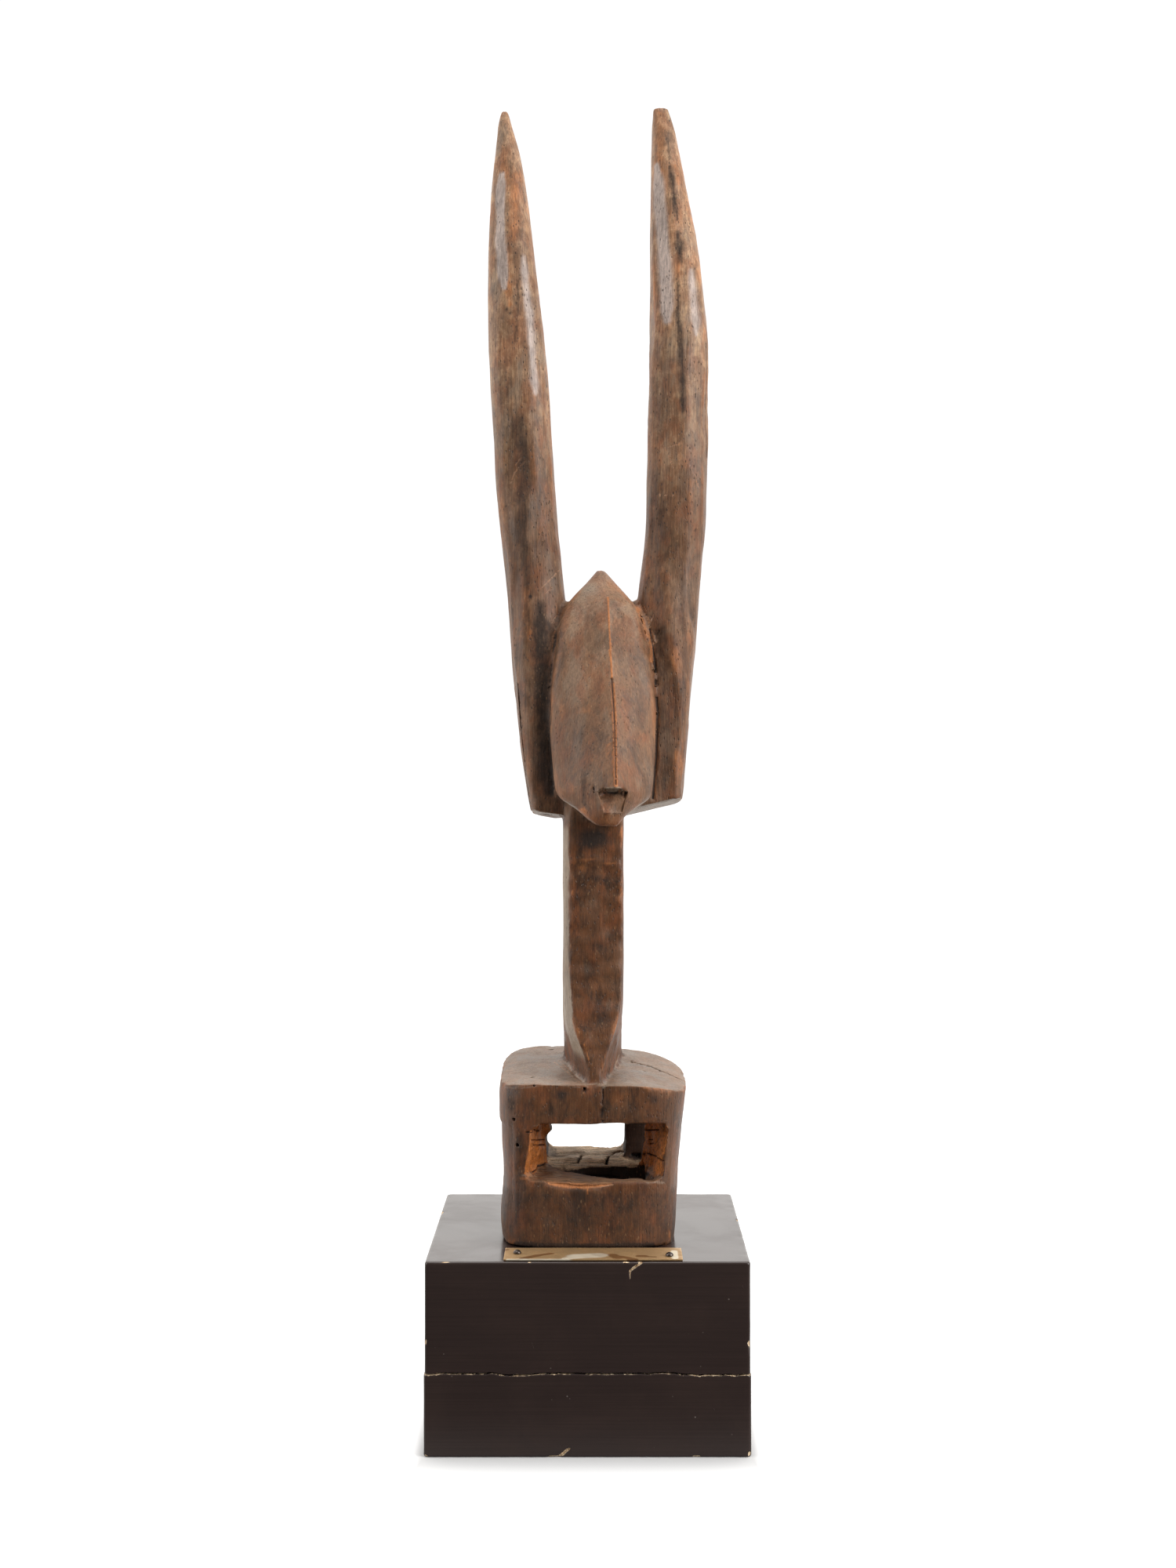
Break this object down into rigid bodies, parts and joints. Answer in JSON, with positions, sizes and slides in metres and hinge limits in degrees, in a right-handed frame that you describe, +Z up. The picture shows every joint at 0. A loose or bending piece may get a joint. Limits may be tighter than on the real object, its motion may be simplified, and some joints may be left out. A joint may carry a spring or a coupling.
{
  "type": "bambara antelope sculpture",
  "caption": "Carved wooden antelope crest figure with tall upright horns, standing on a painted block plinth that carries a blank brass plate.",
  "frame": {"origin": "middle of the plinth's underside", "axes": "+Z up along the horns, -Y the way the animal faces, +X to the right of someone who looks at its face"},
  "size_m": [0.1512, 0.1508, 0.6458],
  "materials": {
    "carved_wood": "old hand-carved hardwood, adze facets, worn brown patina over orange wood, dry cracks",
    "plinth_paint": "satin dark brown paint on wood, chipped to cream at the edges and the seam",
    "plate_brass": "worn blank brass sheet, tarnished in patches",
    "pin_steel": "darkened domed steel pin"
  },
  "bodies": {
    "root": {"antelope_figure": "carved_wood", "plinth_upper_board": "plinth_paint", "plinth_lower_board": "plinth_paint", "name_plate": "plate_brass", "plate_pin_left": "pin_steel", "plate_pin_right": "pin_steel"}
  },
  "joints": []
}
